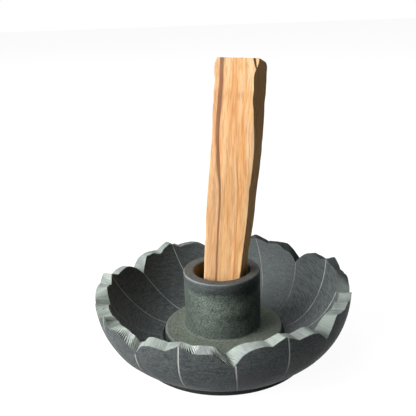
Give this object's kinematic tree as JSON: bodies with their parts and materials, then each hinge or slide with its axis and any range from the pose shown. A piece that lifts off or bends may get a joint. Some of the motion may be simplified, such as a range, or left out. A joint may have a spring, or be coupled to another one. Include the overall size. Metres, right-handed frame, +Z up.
{
  "type": "palo santo holder",
  "caption": "Dark stone bowl with a rim carved as lotus petals and a flanged cup in its floor, where a split stick of palo santo leans.",
  "frame": {"origin": "centre of the foot's flat underside, on the bowl's turned axis", "axes": "+Z up along the bowl's axis, -Y towards the front as pictured, +X to the viewer's right"},
  "size_m": [0.0996, 0.0994, 0.1157],
  "materials": {
    "carved_stone": "dark waxed soapstone, satin, with raw pale green-grey file cuts on the rim and scratched pale lines",
    "turned_stone": "turned soapstone, dark green-grey and mottled, matte on the flange and satin on the cup",
    "palo_santo_wood": "split and sawn raw wood, matte, warm tan with darker brown grain lines"
  },
  "bodies": {
    "bowl": {"lotus_bowl": "carved_stone"},
    "cup": {"stick_cup": "turned_stone"},
    "stick": {"palo_santo_stick": "palo_santo_wood"}
  },
  "joints": [
    {"name": "cup_lift", "type": "slide", "parent": "bowl", "child": "cup", "axis": [0, 0, 1], "range_m": [0, 0.03]},
    {"name": "stick_draw", "type": "slide", "parent": "cup", "child": "stick", "axis": [0.0919, 0.0583, 0.9941], "range_m": [0, 0.03]}
  ]
}
